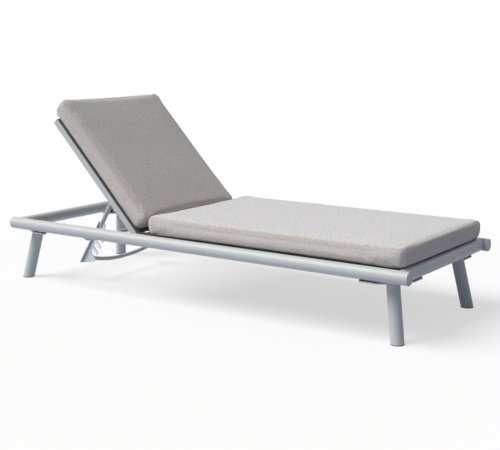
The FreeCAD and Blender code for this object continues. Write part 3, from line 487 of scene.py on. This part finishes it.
FINISH_OF_SLOT = {
    "powder_coat": coat,
    "rack_coat": pale_coat,
    "dark_plastic": plastic,
    "steel": steel,
    "sling_fabric": sling_cloth,
    "cushion_fabric": seat_cloth,
}


def set_finish(thing, material):
    thing.data.materials.clear()
    thing.data.materials.append(material)


for row in frame["record"]["subparts"]:
    set_finish(frame["nodes"][row["node"]], FINISH_OF_SLOT[row["material_slot"]])
for node in ("back_stile_right", "back_stile_left"):
    set_finish(frame["nodes"][node], stiles_coat)
# the deck profiles get the near-black coat as painted shade in the gap under the cushion's edge
for node in ("deck_profile_right", "deck_profile_left"):
    set_finish(frame["nodes"][node], profiles_coat)


# Meshes
def new_piece(name, vertices, faces, material, place=LEVEL_FRAME, smooth=True):
    """A mesh object in a frame of its own."""
    mesh = bpy.data.meshes.new(name)
    mesh.from_pydata([tuple(vertex) for vertex in vertices], [], faces)
    mesh.validate()
    piece = bpy.data.objects.new(name, mesh)
    bpy.context.scene.collection.objects.link(piece)
    piece.matrix_world = place
    mesh.materials.append(material)
    for polygon in mesh.polygons:
        polygon.use_smooth = smooth
    return piece


def mesh_points(thing):
    points = np.empty(len(thing.data.vertices) * 3, np.float32)
    thing.data.vertices.foreach_get("co", points)
    return points.reshape(-1, 3).astype(float)


def set_mesh_points(thing, points):
    thing.data.vertices.foreach_set("co", points.astype(np.float32).ravel())
    thing.data.update()


def settle(thing):
    """Put a piece's modifiers into its mesh."""
    graph = bpy.context.evaluated_depsgraph_get()
    mesh = bpy.data.meshes.new_from_object(thing.evaluated_get(graph), depsgraph=graph)
    thing.modifiers.clear()
    old = thing.data
    thing.data = mesh
    bpy.data.meshes.remove(old)


# Cushions: boxed covers over foam, with a sewn edge round the top and bottom panels
CORNER_RADIUS = 26 * MM
CORNER_SHRINK = 0.3
CORNER_LEAST = 10 * MM
CORNER_STEPS = 10
SIDE_STEPS = 24
EDGE_STEPS = 6
DRAW_IN = 3.5 * MM
SIDE_BULGE = 2 * MM
BULGE_SKEW = 0.7
SIDE_LEVELS = 6
CROWN = 5 * MM
CROWN_RATE = 1.3
CROWN_REACH = 0.95
BASE_REACH = 0.9
SLACK = 1.5 * MM
INNER_INSET_SHARES = (0.06, 0.14, 0.25, 0.4, 0.58, 0.78, 0.96)
VOXEL = 6 * MM
CLOTH_FRAMES = 16
PRESSURE = 3.0
PUFF_CAP = 4 * MM
SEAM_PULL = 0.006
SEAM_DROP_SHARE = 0.42
SEAM_BAND = 5 * MM
SEAM_FAR = 50 * MM
SEAM_LEAST = 0.02
REST_BAND = 1.5 * MM


def outline(half_length, half_width, inset, height):
    """Points round a rounded rectangle with slightly hollow sides."""
    radius = max(CORNER_RADIUS - inset * CORNER_SHRINK, CORNER_LEAST)
    reach_x = half_length - inset - radius
    reach_y = half_width - inset - radius
    points = []
    for corner in range(4):
        centre_x = reach_x if corner in (0, 3) else -reach_x
        centre_y = reach_y if corner in (0, 1) else -reach_y
        for step in range(CORNER_STEPS + 1):
            angle = (corner + step / CORNER_STEPS) * math.pi / 2
            points.append((centre_x + radius * math.cos(angle),
                           centre_y + radius * math.sin(angle), height))
        for step in range(1, SIDE_STEPS):
            share = step / SIDE_STEPS
            hollow = DRAW_IN * math.sin(math.pi * share)
            if corner == 0:
                place = (reach_x * (1 - 2 * share), reach_y + radius - hollow)
            elif corner == 1:
                place = (-reach_x - radius + hollow, reach_y * (1 - 2 * share))
            elif corner == 2:
                place = (-reach_x * (1 - 2 * share), -reach_y - radius + hollow)
            else:
                place = (reach_x + radius - hollow, -reach_y * (1 - 2 * share))
            points.append((place[0], place[1], height))
    return points


def cushion_levels(thickness, half_width, top_edge, base_round, base_rise, taper):
    """Height and inset of each outline, from the middle of the base over the side to the crown."""
    shoulder = thickness - CROWN
    levels = [(0.0, base_round + taper + half_width * share * BASE_REACH)
              for share in reversed(INNER_INSET_SHARES)]
    for step in range(EDGE_STEPS + 1):
        angle = step / EDGE_STEPS * math.pi / 2
        levels.append((base_rise * (1 - math.cos(angle)),
                       taper + base_round * (1 - math.sin(angle))))
    side = shoulder - top_edge - base_rise
    for step in range(1, SIDE_LEVELS):
        share = step / SIDE_LEVELS
        levels.append((base_rise + side * share,
                       taper * (1 - share) ** 2 - SIDE_BULGE * math.sin(math.pi * share ** BULGE_SKEW)))
    for step in range(EDGE_STEPS + 1):
        angle = step / EDGE_STEPS * math.pi / 2
        levels.append((shoulder - top_edge * (1 - math.sin(angle)),
                       top_edge * (1 - math.cos(angle))))
    for share in INNER_INSET_SHARES:
        levels.append((shoulder + CROWN * math.sin(min(share * CROWN_RATE, 1.0) * math.pi / 2),
                       top_edge + half_width * share * CROWN_REACH))
    return levels


def lofted_cushion(name, place, half_length, half_width, levels, material):
    rings = [outline(half_length, half_width, inset, height) for height, inset in levels]
    count = len(rings[0])
    vertices = [point for ring in rings for point in ring]
    faces = [tuple(range(count - 1, -1, -1))]
    for ring in range(len(rings) - 1):
        base = ring * count
        for index in range(count):
            following = (index + 1) % count
            faces.append((base + index, base + following, base + count + following,
                          base + count + index))
    last = (len(rings) - 1) * count
    faces.append(tuple(range(last, last + count)))
    return new_piece(name, vertices, faces, material, place)


def plan_inset(points, half_length, half_width):
    """How far inside the outline each point is, seen from above."""
    q = np.abs(points[:, :2]) - np.array([half_length, half_width]) + CORNER_RADIUS
    outside = np.linalg.norm(np.maximum(q, 0), axis=1)
    inside = np.minimum(np.maximum(q[:, 0], q[:, 1]), 0)
    return CORNER_RADIUS - outside - inside


def puff(cushion, seam_mask):
    """Blow the cover up over its foam, draw the seams in, and cap how far each point moves."""
    scene = bpy.context.scene
    rest = mesh_points(cushion)
    group = cushion.vertex_groups.new(name="seams")
    for index, weight in enumerate(seam_mask):
        if weight > SEAM_LEAST:
            group.add([index], float(weight), "REPLACE")
    held = cushion.vertex_groups.new(name="held")
    resting = np.flatnonzero(rest[:, 2] < REST_BAND)
    held.add([int(index) for index in resting], 1.0, "REPLACE")
    cloth = cushion.modifiers.new("cover", "CLOTH")
    settings = cloth.settings
    settings.quality = 4
    settings.mass = 0.35
    settings.tension_stiffness = 22
    settings.compression_stiffness = 22
    settings.shear_stiffness = 12
    settings.bending_stiffness = 1.2
    settings.use_pressure = True
    settings.uniform_pressure_force = PRESSURE
    settings.effector_weights.gravity = 0
    settings.vertex_group_mass = "held"
    settings.vertex_group_shrink = "seams"
    settings.shrink_min = 0.0
    settings.shrink_max = SEAM_PULL
    cloth.collision_settings.use_self_collision = False
    cloth.point_cache.frame_start = 1
    cloth.point_cache.frame_end = CLOTH_FRAMES
    for number in range(1, CLOTH_FRAMES + 1):
        scene.frame_set(number)
    graph = bpy.context.evaluated_depsgraph_get()
    evaluated = cushion.evaluated_get(graph)
    moved = np.array([vertex.co for vertex in evaluated.data.vertices], float)
    cushion.modifiers.clear()
    cushion.vertex_groups.clear()
    scene.frame_set(1)
    shift = moved - rest
    length = np.linalg.norm(shift, axis=1, keepdims=True)
    shift *= np.minimum(1.0, PUFF_CAP / np.maximum(length, 1e-9))
    points = rest + shift
    points[:, 2] = np.maximum(points[:, 2], 0.0)
    set_mesh_points(cushion, points)


def remesh(cushion):
    """Even faces all over, drawn back onto the form that they were made from."""
    form = bpy.data.objects.new("cushion_form", cushion.data.copy())
    bpy.context.scene.collection.objects.link(form)
    form.matrix_world = cushion.matrix_world
    grid = cushion.modifiers.new("even_mesh", "REMESH")
    grid.mode = "VOXEL"
    grid.voxel_size = VOXEL
    hug = cushion.modifiers.new("hug_form", "SHRINKWRAP")
    hug.target = form
    settle(cushion)
    bpy.data.objects.remove(form)


def store(cushion, name, values):
    attribute = cushion.data.attributes.new(name, "FLOAT", "POINT")
    attribute.data.foreach_set("value", np.asarray(values, np.float32))


def make_cushion(name, node, place, body, cloth, top_edge, base_round, base_rise, taper):
    """A boxed cushion in the room that its CAD solid holds."""
    low, high = local_box(node, place)
    centre = (low + high) / 2
    own = place @ Matrix.Translation((centre.x, centre.y, low.z))
    half_length = (high.x - low.x) / 2 - SLACK
    half_width = (high.y - low.y) / 2 - SLACK
    thickness = high.z - low.z - SLACK
    levels = cushion_levels(thickness, half_width, top_edge, base_round, base_rise, taper)
    cushion = lofted_cushion(name, own, half_length, half_width, levels, cloth)
    remesh(cushion)
    rest = mesh_points(cushion)
    inset = plan_inset(rest, half_length, half_width)
    seam_height = thickness - CROWN - top_edge * SEAM_DROP_SHARE
    top_seam = (rest[:, 2] - seam_height) * 0.8 + (inset - top_edge * 0.2) * 0.6
    low_seam = rest[:, 2] - base_rise * 0.6
    top_line = np.where(inset < top_edge * 1.5, top_seam, 1.0)
    low_line = np.where(inset < base_round + taper + SEAM_BAND, low_seam, 1.0)
    mask = np.exp(-(top_line / SEAM_BAND) ** 2) + np.exp(-(low_line / SEAM_BAND) ** 2)
    puff(cushion, np.clip(mask, 0, 1))
    store(cushion, "top_seam", np.clip(top_line, -SEAM_FAR, SEAM_FAR))
    store(cushion, "low_seam", np.clip(low_line, -SEAM_FAR, SEAM_FAR))
    smooth = cushion.modifiers.new("fair", "SUBSURF")
    smooth.levels = 1
    smooth.render_levels = 1
    settle(cushion)
    work_cover(cushion)
    for polygon in cushion.data.polygons:
        polygon.use_smooth = True
    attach(cushion, body)
    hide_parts(node)
    return cushion


SEAM_DEPTH = 0.6 * MM
SEAM_WIDTH = 2.6 * MM
ROLL_HEIGHT = 0.2 * MM
ROLL_OFFSET = 8 * MM
GATHER_HEIGHT = 0.15 * MM
GATHER_PITCH = 19 * MM
GATHER_REACH = 14 * MM
WANDER_HEIGHT = 1.1 * MM
WANDER_SCALE = 9.0
DIMPLE_HEIGHT = 0.35 * MM
DIMPLE_SCALE = 31.0


def work_cover(cushion):
    """A narrow valley along each seam with small gathers across it, and panels that wander a little."""
    count = len(cushion.data.vertices)
    normals = np.empty(count * 3, np.float32)
    cushion.data.vertices.foreach_get("normal", normals)
    normals = normals.reshape(-1, 3).astype(float)
    points = mesh_points(cushion)
    places = [Vector(point) for point in points]
    wander = np.array([noise.noise(place * WANDER_SCALE) for place in places])
    dimples = np.array([noise.noise(place * DIMPLE_SCALE) for place in places])
    rise = WANDER_HEIGHT * wander + DIMPLE_HEIGHT * dimples
    run = np.where(np.abs(normals[:, 1]) > np.abs(normals[:, 0]), points[:, 0], points[:, 1])
    gathers = np.sin(2 * math.pi * run / GATHER_PITCH + 4 * wander + 3 * dimples)
    for name in ("top_seam", "low_seam"):
        distance = np.empty(count, np.float32)
        cushion.data.attributes[name].data.foreach_get("value", distance)
        distance = np.abs(distance.astype(float))
        rise -= SEAM_DEPTH * np.exp(-(distance / SEAM_WIDTH) ** 2)
        rise += ROLL_HEIGHT * np.exp(-((distance - ROLL_OFFSET) / (ROLL_OFFSET / 2)) ** 2)
        rise += GATHER_HEIGHT * gathers * np.exp(-distance / GATHER_REACH)
    points += normals * rise[:, None]
    points[:, 2] = np.maximum(points[:, 2], 0.0)
    set_mesh_points(cushion, points)


def clear_tubes(cushion, tubes):
    """Lift the cushion's lower edge off the tubes that it lies over."""
    points = mesh_points(cushion)
    own = np.array(cushion.matrix_world.translation)
    for across, height, axis, radius in tubes:
        offset = points[:, axis] + own[axis] - across
        level = points[:, 2] + own[2] - height
        distance = np.hypot(offset, level)
        inside = distance < radius
        points[inside, 2] += np.sqrt(radius ** 2 - offset[inside] ** 2) - level[inside]
    set_mesh_points(cushion, points)


SEAT_FORM = {"top_edge": 12 * MM, "base_round": 20 * MM, "base_rise": 9 * MM, "taper": 6 * MM}
BACK_FORM = {"top_edge": 13 * MM, "base_round": 12 * MM, "base_rise": 12 * MM, "taper": 4 * MM}
TUBE_CLEARANCE = 2 * MM
seat_cushion = make_cushion("seat_cushion_cover", "seat_cushion", LEVEL_FRAME, "frame",
                            seat_cloth, **SEAT_FORM)
foot_low, foot_high = local_box("foot_cross_tube", LEVEL_FRAME)
tube_radius = (foot_high.z - foot_low.z) / 2
tube_height = (foot_high.z + foot_low.z) / 2
foot_tube_x = (foot_high.x + foot_low.x) / 2
rail_low, rail_high = local_box("side_rail_left", LEVEL_FRAME)
rail_across = (rail_low.y + rail_high.y) / 2
clear_radius = tube_radius + TUBE_CLEARANCE
clear_tubes(seat_cushion, [(foot_tube_x, tube_height, 0, clear_radius),
                           (rail_across, tube_height, 1, clear_radius),
                           (-rail_across, tube_height, 1, clear_radius)])
make_cushion("back_cushion_cover", "back_cushion", BACK_FRAME, "back", back_cloth, **BACK_FORM)


# Slings: stretched between the profiles, wrapped round an end bar or run on past it as a hem
SLING_THICKNESS = 1.2 * MM
SLING_GRIP = 6.5 * MM
SLING_GAP = 1 * MM
SLING_TUCK = 20 * MM
SLING_SAG = 3 * MM
SAG_EASE = 6
SAG_FULLNESS = 0.7
BAR_DEPTH = 18 * MM
WRAP_CORNER = 4 * MM
WRAP_RUN = 14 * MM
WRAP_STEPS = 8
FLAT_STEPS = 72
SLING_COLUMNS = 32
HEM_REACH = 19 * MM
HEM_DROOP = 0.5 * MM


def quarter(centre, radii, start, end):
    """Points of a quarter ellipse between two angles in degrees."""
    points = []
    for step in range(WRAP_STEPS + 1):
        angle = math.radians(start + (end - start) * step / WRAP_STEPS)
        points.append((centre[0] + radii[0] * math.cos(angle), centre[1] + radii[1] * math.sin(angle)))
    return points


def wrap(shaded_edge, inward, top, bar_low):
    """Sling path from under a bar, round its outer face, to the deck: a list of (x, z)."""
    outer = shaded_edge - inward * SLING_GAP
    low = bar_low - SLING_GAP
    path = [(shaded_edge + inward * SLING_TUCK, low)]
    path += quarter((outer + inward * WRAP_CORNER, low + WRAP_CORNER),
                    (inward * WRAP_CORNER, WRAP_CORNER), 270, 180)
    bar_top = bar_low + BAR_DEPTH
    path += quarter((outer + inward * WRAP_RUN, bar_top),
                    (inward * WRAP_RUN, top - bar_top), 180, 90)
    return path


def make_sling(name, node, bars, place, body, spans, open_end):
    """A cloth sheet that dips a little between the bars, its ends wrapped round two of them.

    With an open end it isn't wrapped round the first bar, but runs on past it as a free hem.
    """
    low, high = local_box(node, place)
    rear_bar, rear_top = local_box(bars[0], place)
    foot_bar, foot_top = local_box(bars[1], place)
    top = (low.z + high.z) / 2
    length = foot_top.x - rear_bar.x - 2 * WRAP_RUN
    start = rear_bar.x + WRAP_RUN
    half_wide = (high.y - low.y) / 2
    half_narrow = half_wide - SLING_GRIP
    if open_end:
        rear = [(rear_bar.x - HEM_REACH, top - HEM_DROOP), (rear_bar.x, top), (start, top)]
    else:
        rear = wrap(rear_bar.x, 1, top, rear_bar.z)
    foot = wrap(foot_top.x, -1, top, foot_bar.z)
    rows = [(x, z, half_narrow, 0.0) for x, z in rear]
    for step in range(1, FLAT_STEPS):
        share = step / FLAT_STEPS
        ease = min(1.0, SAG_EASE * share, SAG_EASE * (1 - share))
        sag = SLING_SAG * abs(math.sin(math.pi * share * spans)) * ease
        rows.append((start + length * share, top, half_wide, sag))
    rows += [(x, z, half_narrow, 0.0) for x, z in reversed(foot)]

    vertices = []
    for x, z, half, sag in rows:
        for column in range(SLING_COLUMNS + 1):
            across = 2 * column / SLING_COLUMNS - 1
            vertices.append((x, half * across, z - sag * (1 - across ** 2) ** SAG_FULLNESS))
    faces = []
    stride = SLING_COLUMNS + 1
    for row in range(len(rows) - 1):
        for column in range(SLING_COLUMNS):
            corner = row * stride + column
            faces.append((corner, corner + stride, corner + stride + 1, corner + 1))
    sling = new_piece(name, vertices, faces, sling_cloth, place)
    thick = sling.modifiers.new("cloth", "SOLIDIFY")
    thick.thickness = SLING_THICKNESS
    thick.offset = 0
    settle(sling)
    for polygon in sling.data.polygons:
        polygon.use_smooth = True
    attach(sling, body)
    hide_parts(node)


make_sling("seat_sling_cloth", "seat_sling", ("deck_bar_rear", "deck_bar_foot"),
           LEVEL_FRAME, "frame", spans=3, open_end=False)
make_sling("back_sling_cloth", "back_sling", ("back_bar_bottom", "back_bar_top"),
           BACK_FRAME, "back", spans=2, open_end=True)


# Floor, light and camera
FLOOR_PALE = plain(0.94, 0.94, 0.945)
FLOOR_BOUNCE = plain(0.55, 0.61, 0.73)
FLOOR_BOUNCE_FOOT = plain(0.24, 0.30, 0.46)
FOOT_SHADE_START = 0.8
FOOT_SHADE_END = 1.4
PURE_WHITE = plain(1.0, 1.0, 1.0)
FLOOR_HALF = 40.0
FLOOR_LIFT = 0.6
CLEAR_START = 1.4
CLEAR_END = 3.0
AMBIENT = 0.262
AMBIENT_HEAD = plain(1.0, 0.99, 0.975)
AMBIENT_FOOT = plain(0.22, 0.29, 0.50)
COOL_HEIGHT = 1.1
KEY_DIRECTION = Vector((-0.46, -0.44, 0.77))
KEY_STRENGTH = 3.12
KEY_COLOUR = (1.0, 0.99, 0.975)
KEY_SPREAD = math.radians(42)


def seen_directly(finish):
    """1 for what the camera sees, also by gloss or through glass, and 0 for soft light."""
    camera = finish.node("ShaderNodeLightPath", {}, {}, "Is Camera Ray")
    either = camera + camera.out("Is Glossy Ray") + camera.out("Is Transmission Ray")
    return either.maths("MINIMUM", either, 1.0)


def studio_floor():
    """Pale floor that keeps a light shadow near the object and runs out to white."""
    finish = new_finish("studio_floor")
    distance = finish.node("ShaderNodeVectorMath", {"operation": "LENGTH"}, {0: finish.place()}, "Value")
    away = finish.passage(distance, CLEAR_START, CLEAR_END, low=FLOOR_LIFT)
    footward = finish.passage(finish.split(finish.place()), FOOT_SHADE_START, FOOT_SHADE_END)
    bounce = finish.colours(footward, FLOOR_BOUNCE, FLOOR_BOUNCE_FOOT)
    seen = seen_directly(finish)
    matt = finish.node("ShaderNodeBsdfDiffuse", {}, {
        "Color": finish.colours(seen, bounce, FLOOR_PALE)})
    white = finish.node("ShaderNodeEmission", {}, {"Color": PURE_WHITE, "Strength": 1.0})
    mixed = finish.node("ShaderNodeMixShader", {}, {0: away * seen, 1: matt, 2: white})
    finish.node("ShaderNodeOutputMaterial", {}, {"Surface": mixed})
    return finish.data


def make_floor():
    corners = [(-FLOOR_HALF, -FLOOR_HALF, 0), (FLOOR_HALF, -FLOOR_HALF, 0),
               (FLOOR_HALF, FLOOR_HALF, 0), (-FLOOR_HALF, FLOOR_HALF, 0)]
    floor = new_piece("studio_floor", corners, [(0, 1, 2, 3)], studio_floor())


def make_world():
    """White behind the object; a soft fill, a little cooler low down from the foot end."""
    world = Finish(bpy.data.worlds.new("studio"))
    bpy.context.scene.world = world.data
    x = world.split(world.node("ShaderNodeTexCoord", {}, {}, "Generated"))
    cool = world.node("ShaderNodeClamp", {}, {"Value": x * (COOL_HEIGHT - x.out("Z"))})
    seen = seen_directly(world)
    fill = world.colours(cool, AMBIENT_HEAD, AMBIENT_FOOT)
    sky = world.node("ShaderNodeBackground", {}, {
        "Color": world.colours(seen, fill, PURE_WHITE),
        "Strength": AMBIENT + (1.0 - AMBIENT) * seen})
    world.node("ShaderNodeOutputWorld", {}, {"Surface": sky})


def make_key():
    """One broad key from above, the near side and the head end."""
    light = bpy.data.lights.new("key", "SUN")
    light.energy = KEY_STRENGTH
    light.color = KEY_COLOUR
    light.angle = KEY_SPREAD
    lamp = bpy.data.objects.new("key", light)
    bpy.context.scene.collection.objects.link(lamp)
    lamp.rotation_mode = "QUATERNION"
    lamp.rotation_quaternion = KEY_DIRECTION.to_track_quat("Z", "Y")


CAMERA_PLACE = Vector((2.44933, -3.45494, 1.05766))
CAMERA_YAW = 0.6041
CAMERA_PITCH = 0.1797
CAMERA_LENS = 73.18
SENSOR_WIDTH = 36.0


def make_camera():
    data = bpy.data.cameras.new("camera")
    data.lens = CAMERA_LENS
    data.sensor_width = SENSOR_WIDTH
    camera = bpy.data.objects.new("camera", data)
    bpy.context.scene.collection.objects.link(camera)
    forward = Vector((-math.sin(CAMERA_YAW) * math.cos(CAMERA_PITCH),
                      math.cos(CAMERA_YAW) * math.cos(CAMERA_PITCH), -math.sin(CAMERA_PITCH)))
    camera.location = CAMERA_PLACE
    camera.rotation_mode = "QUATERNION"
    camera.rotation_quaternion = forward.to_track_quat("-Z", "Y")
    bpy.context.scene.camera = camera


make_floor()
make_world()
make_key()
make_camera()
bpy.context.scene.view_settings.view_transform = "Standard"
